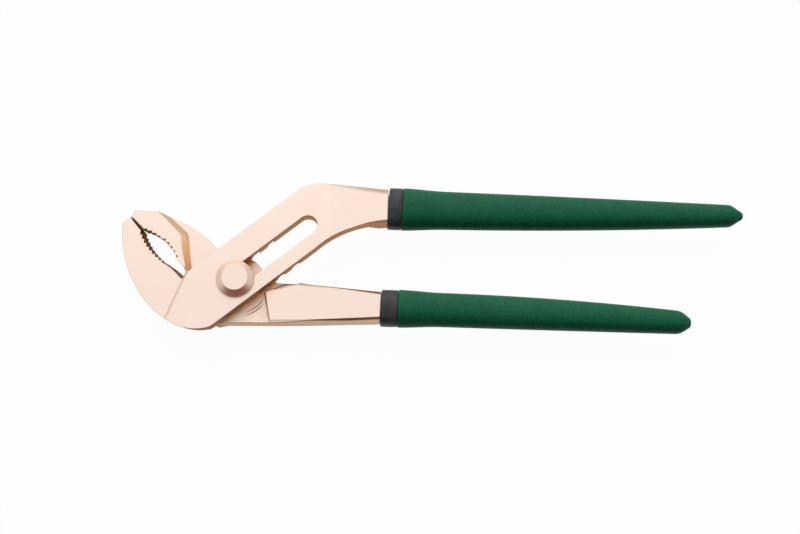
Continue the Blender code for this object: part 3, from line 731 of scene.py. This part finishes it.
@dataclass(frozen=True)
class TurnedMetal(Finish):
    """Lathe-turned copper alloy with fine rings about the pivot axis."""

    name: str = "fastener_metal"
    metallic: float = 1.0
    rim_tint: Colour = (0.6, 0.42, 0.32, 1.0)
    tone: Colour = (0.925, 0.765, 0.67, 1.0)
    warm: Colour = (0.84, 0.62, 0.49, 1.0)
    # Painted shade on the front side of the sloped faces
    front_shade: Colour = (0.74, 0.28, 0.18, 1.0)
    ring_pitch: float = 0.22

    def dress(self, graph: Graph) -> Feeds:
        """Faint turning rings, a fine grain, and painted shade on the front side of the sloped
        faces.

        Args:
            graph: The material's graph.

        Returns:
            What feeds each input of the shader.
        """
        place = graph.place()
        x, y, _ = graph.axes(place)
        radius = (x * x + y * y) ** 0.5
        wander = graph.noise(place, 3.0, 2.0)
        rings = (radius * (2 * math.pi / (self.ring_pitch * MM)) + wander * 2.0).sine()
        fine = graph.noise(place, 0.4, 2.0, 0.6)
        sloped = abs(graph.axes(graph.place("Normal"))[2]).step(0.97, 0.85)
        # Painted shade on the front side of the sloped faces
        front = (y * -1.0 / radius + (wander - 0.5) * 0.25 + x / radius * 0.12).step(0.55, 1.0)
        tone = graph.coat(
            self.tone,
            ((fine - 0.5) * 0.30 + 0.06, self.warm),
            (sloped * 0.75, self.warm),
            (sloped * front * 0.95, self.front_shade),
        )
        return {
            "Base Color": tone,
            "Roughness": 0.38 + (fine - 0.5) * 0.10,
            "Normal": graph.relief(rings * 0.08 + fine * 0.5, 0.012, 0.25),
        }


@dataclass(frozen=True)
class BlackVinyl(Finish):
    """Smooth black vinyl with a satin sheen."""

    name: str = "black_sleeve"
    specular: float = 0.35
    tone: Colour = (0.026, 0.023, 0.024, 1.0)
    worn: Colour = (0.054, 0.05, 0.052, 1.0)

    def dress(self, graph: Graph) -> Feeds:
        """A faint cloud, fine grain and slight dimples.

        Args:
            graph: The material's graph.

        Returns:
            What feeds each input of the shader.
        """
        place = graph.place()
        cloud = graph.noise(place, 3.5, 3.0)
        fine = graph.noise(place, 0.35, 2.0, 0.6)
        return {
            "Base Color": graph.mix(cloud.step(0.35, 0.75), self.tone, self.worn),
            "Roughness": 0.40 + (cloud - 0.5) * 0.12 + (fine - 0.5) * 0.08,
            "Normal": graph.relief(cloud * 1.5 + fine * 0.35, 0.03),
        }


@dataclass(frozen=True)
class GreenVinyl(Finish):
    """Matt green vinyl with a leathery mottle."""

    name: str = "green_grip"
    specular: float = 0.16
    tone: Colour = (0.003, 0.118, 0.05, 1.0)
    light: Colour = (0.012, 0.178, 0.092, 1.0)
    deep: Colour = (0.001, 0.048, 0.02, 1.0)

    def dress(self, graph: Graph) -> Feeds:
        """Mottled tone and pebbled relief.

        Args:
            graph: The material's graph.

        Returns:
            What feeds each input of the shader.
        """
        place = graph.place()
        pebble = graph.cells(place, 0.55)
        fine = graph.noise(place, 0.42, 3.0, 0.65)
        cloud = graph.noise(place, 9.0, 3.0)
        tone = graph.coat(
            self.tone,
            (fine.step(0.42, 0.72) * 0.55, self.light),
            (pebble.step(0.45, 0.85) * 0.40, self.deep),
            ((cloud - 0.5) * 0.5 + 0.1, self.deep),
        )
        return {
            "Base Color": tone,
            "Roughness": 0.50 + (fine - 0.5) * 0.25,
            "Normal": graph.relief((1.0 - pebble) * 0.7 + fine * 0.8, 0.10),
        }


# Mesh helpers


def new_piece(
    name: str, bm: bmesh.types.BMesh, sharp: float = 35.0, sharp_flat: float | None = None,
) -> bpy.types.Object:
    """Turn a finished bmesh into a piece.

    Args:
        name: Name of the piece.
        bm: The bmesh, which is freed.
        sharp: Angle in degrees above which an edge stays sharp.
        sharp_flat: The same for the edges of faces that look up or down, if it differs.

    Returns:
        The piece, at the origin.
    """
    for face in bm.faces:
        face.smooth = True
    for edge in bm.edges:
        level = max((abs(face.normal.z) for face in edge.link_faces), default=0.0)
        limit = sharp if sharp_flat is None or level < 0.5 else sharp_flat
        edge.smooth = edge.calc_face_angle(0.0) < math.radians(limit)
    mesh = bpy.data.meshes.new(name)
    bm.to_mesh(mesh)
    bm.free()
    piece = bpy.data.objects.new(name, mesh)
    bpy.context.scene.collection.objects.link(piece)
    return piece


def clipped(value: float) -> float:
    """A value held between 0 and 1."""
    return min(max(value, 0.0), 1.0)


def held(profile: Sequence[Pair], gap: float) -> list[Pair]:
    """Add points just inside both ends of each long stretch, so that it shades flat.

    Args:
        profile: Points in millimetres.
        gap: Distance of the added points from the ends.

    Returns:
        The profile with the added points.
    """
    points = [profile[0]]
    for (r0, z0), (r1, z1) in zip(profile, profile[1:]):
        length = math.hypot(r1 - r0, z1 - z0)
        if length > 4 * gap:
            for part in (gap / length, 1 - gap / length):
                points.append((r0 + (r1 - r0) * part, z0 + (z1 - z0) * part))
        points.append((r1, z1))
    return points


def welded(bm: bmesh.types.BMesh) -> bmesh.types.BMesh:
    """Merge doubled points and turn the normals outward.

    Args:
        bm: The bmesh of a closed solid.

    Returns:
        The same bmesh.
    """
    bmesh.ops.remove_doubles(bm, verts=bm.verts, dist=WELD)
    bmesh.ops.recalc_face_normals(bm, faces=bm.faces)
    return bm


def spun(profile: Sequence[Pair], steps: int, closed: bool) -> bmesh.types.BMesh:
    """Spin a profile of radius and height about the Z axis.

    Args:
        profile: Points in millimetres.
        steps: Number of steps round the axis.
        closed: Whether the profile's last point joins its first.

    Returns:
        The closed solid.
    """
    bm = bmesh.new()
    verts = [bm.verts.new((radius * MM, 0.0, height * MM)) for radius, height in profile]
    pairs = list(zip(verts, verts[1:]))
    if closed:
        pairs.append((verts[-1], verts[0]))
    edges = [bm.edges.new(pair) for pair in pairs]
    bmesh.ops.spin(
        bm, geom=verts + edges, cent=(0.0, 0.0, 0.0), axis=(0.0, 0.0, 1.0),
        angle=2 * math.pi, steps=steps, use_merge=True,
    )
    return welded(bm)


class Tube:
    """A tube grown ring by ring; a section shapes each ring by the angle of its points."""

    def __init__(self, points: int, *sections: Section) -> None:
        """Start with a ring, and grow through the other sections.

        Args:
            points: Number of points in each ring.
            sections: Gives the place of each ring's point at an angle.
        """
        self.bm = bmesh.new()
        self.turn = self.bm.verts.layers.float.new("turn")
        made = bmesh.ops.create_circle(self.bm, segments=points, radius=1.0)
        self.ring = made["verts"]
        for vert in self.ring:
            vert[self.turn] = math.atan2(vert.co.y, vert.co.x)
        self.edges = list(self.bm.edges)
        self.shape(sections[0])
        for section in sections[1:]:
            self.grow(section)

    def shape(self, section: Section) -> None:
        """Move the newest ring to a section."""
        for vert in self.ring:
            vert.co = section(vert[self.turn])

    def grow(self, section: Section) -> None:
        """Extrude the newest ring and move the new one to a section.

        Args:
            section: Gives the place of the point at an angle.
        """
        made = bmesh.ops.extrude_edge_only(self.bm, edges=self.edges)["geom"]
        self.ring = [item for item in made if isinstance(item, bmesh.types.BMVert)]
        self.edges = [item for item in made if isinstance(item, bmesh.types.BMEdge)]
        self.shape(section)

    def cap(self) -> None:
        """Fill both open ends, each with one face."""
        bmesh.ops.contextual_create(self.bm, geom=self.edges)
        rim = [edge for edge in self.bm.edges if edge.is_boundary]
        bmesh.ops.contextual_create(self.bm, geom=rim)


# The tool


@dataclass
class ForgedLever:
    """One lever, welded and smoothed from its solid."""

    node: str
    body: str
    finish: Finish
    sharp: float = 28.0
    sharp_flat: float = 1.0

    def build(self, frame: dict[str, Any]) -> bpy.types.Object:
        """Weld a copy of the lever's solid and dress it.

        Args:
            frame: The loaded frame.

        Returns:
            The piece.
        """
        bm = bmesh.new()
        bm.from_mesh(frame["nodes"][self.node].data)
        bmesh.ops.remove_doubles(bm, verts=bm.verts, dist=WELD)
        bmesh.ops.dissolve_limit(
            bm, angle_limit=math.radians(0.5), verts=bm.verts, edges=bm.edges, delimit={"NORMAL"},
        )
        bmesh.ops.recalc_face_normals(bm, faces=bm.faces)
        piece = new_piece(self.node + "_forging", bm, self.sharp, self.sharp_flat)
        piece.data.materials.clear()
        piece.data.materials.append(self.finish.material())
        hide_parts(self.node)
        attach(piece, self.body)
        return piece


@dataclass
class PivotJoint:
    """The shoulder bolt, washer and nut on the pivot axis. Millimetres, heights from Z = 0."""

    body: str = "pivot"
    steps: int = 96
    head_top: float = 20.1
    head_seat: float = 17.5
    head_rim: float = 18.2
    head_radius: float = 7.5
    flat_radius: float = 5.2
    neck_radius: float = 3.6
    shoulder: float = 5.2
    thread_radius: float = 3.0
    thread_pitch: float = 1.0
    thread_depth: float = 0.35
    end_chamfer: float = 0.7
    washer_top: float = 4.9
    washer_thickness: float = 1.0
    washer_radius: float = 7.0
    washer_edge: float = 0.18
    nut_top: float = 3.6
    nut_thickness: float = 3.2
    nut_flats: float = 10.0
    nut_turn: float = 15.0
    nut_points: int = 120
    nut_corner_angle: float = 30.0
    countersink: float = 0.4
    bore_gap: float = 0.3
    sharp: float = 24.0
    finish: Finish = field(default_factory=TurnedMetal)

    def build(self) -> list[bpy.types.Object]:
        """Build and dress the three pieces.

        Returns:
            The bolt, the washer and the nut.
        """
        metal = self.finish.material()
        made = []
        for name, node, bm in (
            ("bolt", "pivot_bolt", self.bolt()),
            ("washer", "pivot_washer", self.washer()),
            ("nut", "pivot_nut", self.nut()),
        ):
            piece = new_piece("pivot_%s_turned" % name, bm, self.sharp)
            piece.data.materials.append(metal)
            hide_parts(node)
            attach(piece, self.body)
            made.append(piece)
        return made

    def bolt(self) -> bmesh.types.BMesh:
        """Head with a flat, a wide chamfer and a rim, plain neck, and rolled thread.

        Returns:
            The bolt's bmesh.
        """
        head, seat = self.head_radius, self.head_seat
        neck, thread = self.neck_radius, self.thread_radius
        profile = [
            (0.0, self.head_top), (self.flat_radius - 0.05, self.head_top),
            (self.flat_radius + 0.05, self.head_top - 0.06), (head - 0.12, self.head_rim + 0.10),
            (head, self.head_rim - 0.08), (head, seat + 0.1), (head - 0.1, seat), (neck, seat),
            (neck, self.shoulder), (thread, self.shoulder),
        ]
        height, pitch, chamfer = self.shoulder - 0.3, self.thread_pitch, self.end_chamfer
        root = thread - self.thread_depth
        while height - pitch > chamfer:
            profile += [(thread, height), (thread, height - 0.12)]
            profile += [(root, height - 0.5 * pitch), (root, height - 0.62 * pitch)]
            height -= pitch
        profile += [(thread, height), (thread, chamfer), (thread - chamfer, 0.0), (0.0, 0.0)]
        return spun(held(profile, 0.1), self.steps, False)

    def washer(self) -> bmesh.types.BMesh:
        """Flat washer with rounded edges.

        Returns:
            The washer's bmesh.
        """
        inner = self.thread_radius + self.bore_gap
        top, low = self.washer_top, self.washer_top - self.washer_thickness
        rim = self.washer_edge
        profile = [
            (inner + rim, top), (self.washer_radius - rim, top), (self.washer_radius, top - rim),
            (self.washer_radius, low + rim), (self.washer_radius - rim, low), (inner + rim, low),
            (inner, low + rim), (inner, top - rim),
        ]
        return spun(profile, self.steps, True)

    def nut(self) -> bmesh.types.BMesh:
        """Hexagon nut, its corners turned down on both faces and its bore countersunk.

        Returns:
            The nut's bmesh.
        """
        top, low = self.nut_top, self.nut_top - self.nut_thickness
        bore = self.thread_radius + self.bore_gap
        flat = self.nut_flats / 2
        cone = flat - 0.25
        sink = self.countersink

        def hexagon(turn: float) -> float:
            """Radius of the hexagon at an angle."""
            part = (turn - math.radians(self.nut_turn)) % (math.pi / 3) - math.pi / 6
            return flat / math.cos(part)

        def ring(radius: float, height: float) -> Section:
            """A plain circle of points."""
            spread = height / radius
            return lambda turn: Vector((math.cos(turn), math.sin(turn), spread)) * radius * MM

        def side(height: float, outward: float) -> Section:
            """The hexagon's edge, which dips where the corners are turned down.

            Args:
                height: Height of the face.
                outward: 1 for the upper face, -1 for the lower one.

            Returns:
                A function from angle to place.
            """
            fall = math.tan(math.radians(self.nut_corner_angle)) * outward

            def at(turn: float) -> Vector:
                """Place of the edge's point at an angle."""
                x, y = hexagon(turn) * math.cos(turn), hexagon(turn) * math.sin(turn)
                return Vector((x, y, height - (hexagon(turn) - cone) * fall)) * MM

            return at

        tube = Tube(
            self.nut_points, ring(bore, top - sink), ring(bore + sink, top), ring(cone, top),
            side(top, 1.0), side(low, -1.0), ring(cone, low), ring(bore + sink, low),
            ring(bore, low + sink), ring(bore, top - sink),
        )
        return welded(tube.bm)


class Nose(Enum):
    """Shape of a grip's end, as the share of its width left at distances past its full length."""

    NIB = (
        (-4.4, 1.0), (-3.7, 0.99), (-3.0, 0.965), (-2.2, 0.89), (-1.4, 0.78), (-0.6, 0.66),
        (0.25, 0.53), (0.7, 0.475), (1.1, 0.425), (1.45, 0.37), (1.75, 0.31), (1.98, 0.24),
        (2.13, 0.16), (2.2, 0.08),
    )
    CONE = (
        (-5.2, 1.0), (-4.5, 0.99), (-3.8, 0.96), (-3.1, 0.91), (-2.4, 0.83), (-1.7, 0.735),
        (-1.0, 0.63), (-0.3, 0.515), (0.1, 0.45), (0.42, 0.38), (0.62, 0.3), (0.74, 0.2),
        (0.79, 0.1),
    )


@dataclass
class HandleCover:
    """The black sleeve and the green grip of one handle. Sizes are in millimetres."""

    name: str
    body: str
    root: Pair
    slope: float
    bow: float
    band: float
    sleeve_size: Pair
    grip_sizes: tuple[Pair, Pair, Pair]
    flare: float
    length: float
    nose: Nose
    slant: float = 0.0
    middle_height: float = 11.2
    flare_length: float = 17.0
    wall: float = 0.9
    squareness: float = 2.25
    points: int = 72
    rings: int = 40
    sharp: float = 50.0

    def centre(self, along: float) -> float:
        """Sideways offset of the handle's centre line, which bows a little."""
        share = clipped(along / self.length)
        return 4 * self.bow * share * (1 - share)

    def grip_half(self, along: float) -> Pair:
        """Half width and half thickness of the grip.

        Args:
            along: Distance from the root.

        Returns:
            The two halves.
        """
        share = clipped((along - self.band) / (self.length - self.band))
        weights = ((1 - share) * (1 - 2 * share), 4 * share * (1 - share), share * (2 * share - 1))
        fade = clipped((along - self.band) / self.flare_length)
        flare = self.flare / 2 * (1 - fade * fade * (3 - 2 * fade))
        width, thick = (
            sum(weight * size[i] for weight, size in zip(weights, self.grip_sizes)) / 2
            for i in (0, 1)
        )
        return width + flare, thick + flare

    def section(self, along: float, half: Pair, slant: float = 0.0) -> Section:
        """A rounded oval square to the handle.

        Args:
            along: Distance from the root.
            half: Half width and half thickness.
            slant: How far the section leans along the handle per unit across.

        Returns:
            A function from angle to place.
        """
        cos, sin = math.cos(math.radians(self.slope)), math.sin(math.radians(self.slope))
        power = 2 / self.squareness

        def at(turn: float) -> Vector:
            """Place of the section's point.

            Args:
                turn: Its angle.

            Returns:
                The place, in metres.
            """
            across, height = (
                math.copysign(abs(part) ** power, part) * size
                for part, size in zip((math.cos(turn), math.sin(turn)), half)
            )
            reach = along + slant * across
            across += self.centre(along)
            x = self.root[0] + cos * reach - sin * across
            y = self.root[1] + sin * reach + cos * across
            return Vector((x, y, self.middle_height + height)) * MM

        return at

    def started(self, half: Pair, steps: Sequence[Pair]) -> Tube:
        """A tube through rings that are inset from one size.

        Args:
            half: Half width and half thickness.
            steps: Distance from the root and inset of each ring.

        Returns:
            The tube, open at both ends.
        """
        wide, thick = half
        return Tube(self.points, *(
            self.section(along, (wide + inset, thick + inset), self.slant) for along, inset in steps
        ))

    def sleeve(self) -> bmesh.types.BMesh:
        """The band that shows, with a rolled lip, and its end tucked under the grip.

        Returns:
            The sleeve's bmesh.
        """
        half = (self.sleeve_size[0] / 2, self.sleeve_size[1] / 2)
        end = self.band
        bore, tucked = -2.4, -1.8
        steps = [
            (end + 3.0, bore), (0.6, bore), (0.24, bore + 0.25), (0.16, -0.45), (0.24, -0.2),
            (0.46, -0.05), (0.9, 0.0), (end * 0.5, 0.05), (end - 0.5, 0.0), (end - 0.2, -0.06),
            (end - 0.08, -0.25), (end - 0.06, tucked), (end + 3.0, tucked), (end + 3.0, bore),
        ]
        return welded(self.started(half, steps).bm)

    def grip(self) -> bmesh.types.BMesh:
        """The green tube with a rounded mouth and a closed nose.

        Returns:
            The grip's bmesh.
        """
        start = self.band
        half = self.grip_half(start)
        bore = -self.wall - self.flare / 2
        mouth = [
            (start + 5.0, bore), (start + 0.5, bore), (start + 0.08, bore + 0.35), (start, -0.42),
            (start + 0.07, -0.2), (start + 0.25, -0.05), (start + 0.55, 0.0),
        ]
        tube = self.started(half, mouth)
        first = start + 1.6
        shoulder = self.length + self.nose.value[0][0]
        for i in range(self.rings + 1):
            along = first + (shoulder - first) * i / self.rings
            slant = self.slant * max(0.0, 1.0 - i / 6.0)
            tube.grow(self.section(along, self.grip_half(along), slant))
        for past, share in self.nose.value[1:]:
            width, thick = self.grip_half(self.length + past)
            tube.grow(self.section(self.length + past, (width * share, thick * share)))
        tube.cap()
        return welded(tube.bm)

    def build(self) -> list[bpy.types.Object]:
        """Build and dress the sleeve and the grip.

        Returns:
            The two pieces.
        """
        made = []
        for kind, node, bm, finish, slot in (
            ("sleeve_band", "inner_sleeve", self.sleeve(), BlackVinyl(), "black_sleeve"),
            ("grip_cover", "outer_grip", self.grip(), GreenVinyl(), "green_grip"),
        ):
            piece = new_piece("%s_%s" % (self.name, kind), bm, self.sharp)
            piece.data.materials.append(finish.material())
            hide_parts("%s_%s" % (self.name, node))
            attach(piece, self.body)
            made.append(piece)
        return made


UPPER_COVER = HandleCover(
    name="upper", body="slotted_half", root=(61.0, 30.9), slope=-1.25, bow=-0.5, band=5.9,
    sleeve_size=(17.2, 11.8), grip_sizes=((16.0, 11.2), (13.7, 10.6), (8.7, 8.7)), flare=1.4,
    length=142.0, nose=Nose.NIB, slant=0.05,
)
LOWER_COVER = HandleCover(
    name="lower", body="tongued_half", root=(58.0, -10.65), slope=-2.85, bow=0.75, band=7.0,
    sleeve_size=(14.9, 11.4), grip_sizes=((13.7, 10.9), (12.85, 10.4), (8.95, 8.6)), flare=1.5,
    length=123.5, nose=Nose.CONE,
)


# The studio


@dataclass
class Studio:
    """Camera, pale floor and soft light, in metres, degrees and watts."""

    look_at: Point = (0.06583, 0.00647, 0.0112)
    elevation: float = 75.0
    distance: float = 0.70
    focal_pixels: float = 1736.0
    image_width: float = 800.0
    sensor_width: float = 36.0
    key_place: Point = (-0.05, 0.72, 0.56)
    key_size: float = 0.80
    key_power: float = 1.4
    sky: float = 0.80
    card: float = 0.10
    fill: float = 0.10
    soft_box: float = 3.45
    box_way: Point = (-0.06, 0.80, 0.60)
    card_way: Pair = (-0.96, 0.28)
    floor_size: float = 12.0
    floor_grey: Colour = (0.16, 0.16, 0.16, 1.0)
    floor_pale: Colour = (0.93, 0.93, 0.93, 1.0)
    floor_shown: float = 0.97

    def build(self) -> None:
        """Set up the camera, the floor, the world and the lamp."""
        self.camera()
        self.floor()
        self.world()
        self.key_light()
        bpy.context.scene.view_settings.view_transform = "Standard"

    def camera(self) -> None:
        """A long lens above the tool, looking down and a little toward its upper edge."""
        lens = bpy.data.cameras.new("camera")
        lens.sensor_width = self.sensor_width
        lens.lens = self.focal_pixels / self.image_width * lens.sensor_width
        lens.clip_start = 0.01
        camera = bpy.data.objects.new("camera", lens)
        bpy.context.scene.collection.objects.link(camera)
        angle = math.radians(self.elevation)
        back = Vector((0.0, -math.cos(angle), math.sin(angle))) * self.distance
        camera.location = Vector(self.look_at) + back
        camera.rotation_euler = (math.pi / 2 - angle, 0.0, 0.0)
        bpy.context.scene.camera = camera

    def floor(self) -> None:
        """A grey floor that shows white where it's seen or mirrored, and keeps a faint shadow."""
        bm = bmesh.new()
        bmesh.ops.create_grid(bm, x_segments=1, y_segments=1, size=self.floor_size)
        piece = new_piece("studio_floor", bm)
        made = bpy.data.materials.new("studio_floor")
        graph = Graph(made)
        seen = self.seen(graph)
        tone = graph.mix(seen, self.floor_grey, self.floor_pale)
        paper = graph.signal("ShaderNodeBsdfDiffuse", {"Color": tone})
        white = graph.signal("ShaderNodeEmission", {"Color": (1, 1, 1, 1), "Strength": 1.0})
        values = {0: seen * self.floor_shown, 1: paper, 2: white}
        mixed = graph.signal("ShaderNodeMixShader", values)
        graph.node("ShaderNodeOutputMaterial", values={"Surface": mixed})
        piece.data.materials.append(made)

    def seen(self, graph: Graph) -> Signal:
        """Find the rays that show the surroundings: to the camera, in a mirror or through glass.

        Args:
            graph: A material's or the world's graph.

        Returns:
            1 on those rays and 0 on others.
        """
        path = graph.node("ShaderNodeLightPath")
        seen = Signal(graph, path.outputs["Is Camera Ray"])
        for ray in ("Is Glossy Ray", "Is Transmission Ray"):
            seen = graph.math("MAXIMUM", seen, Signal(graph, path.outputs[ray]))
        return seen

    def world(self) -> None:
        """A soft box behind the tool, and the white sky and dark card that its metal mirrors."""
        world = bpy.data.worlds.new("studio_sky")
        bpy.context.scene.world = world
        graph = Graph(world)
        x, y, z = graph.axes(graph.place("Generated"))
        front = y * self.card_way[0] + z * self.card_way[1]
        dark = front.step(0.20, 0.78) * z.step(0.76, 0.52)
        shown = self.sky - dark * (self.sky - self.card)
        shown = graph.math("MAXIMUM", shown, z.step(0.16, 0.06))
        toward = x * self.box_way[0] + y * self.box_way[1] + z * self.box_way[2]
        light = self.fill + toward.step(0.70, 0.98) * self.soft_box
        seen = self.seen(graph)
        light = shown * seen + light * (1.0 - seen)
        back = graph.signal("ShaderNodeBackground", {"Color": (1, 1, 1, 1), "Strength": light})
        graph.node("ShaderNodeOutputWorld", values={"Surface": back})

    def key_light(self) -> None:
        """Hang a square soft light that points at the tool."""
        data = bpy.data.lights.new("key_light", "AREA")
        data.shape = "SQUARE"
        data.size = self.key_size
        data.energy = self.key_power
        lamp = bpy.data.objects.new("key_light", data)
        lamp.location = self.key_place
        way = Vector(self.look_at) - Vector(self.key_place)
        lamp.rotation_euler = way.to_track_quat("-Z", "Y").to_euler()
        bpy.context.scene.collection.objects.link(lamp)


def main() -> None:
    """Build the tool and its studio, and report each piece."""
    logging.basicConfig(level=logging.INFO, format="%(message)s")
    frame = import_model()
    pieces = [
        ForgedLever("slotted_jaw_lever", "slotted_half", SlottedMetal()).build(frame),
        ForgedLever("tongued_jaw_lever", "tongued_half", TonguedMetal()).build(frame),
    ]
    pieces += PivotJoint().build()
    pieces += UPPER_COVER.build()
    pieces += LOWER_COVER.build()
    Studio().build()
    for piece in pieces:
        LOG.info("%s: %d faces", piece.name, len(piece.data.polygons))
    bpy.context.view_layer.update()


if __name__ == "__main__":
    main()
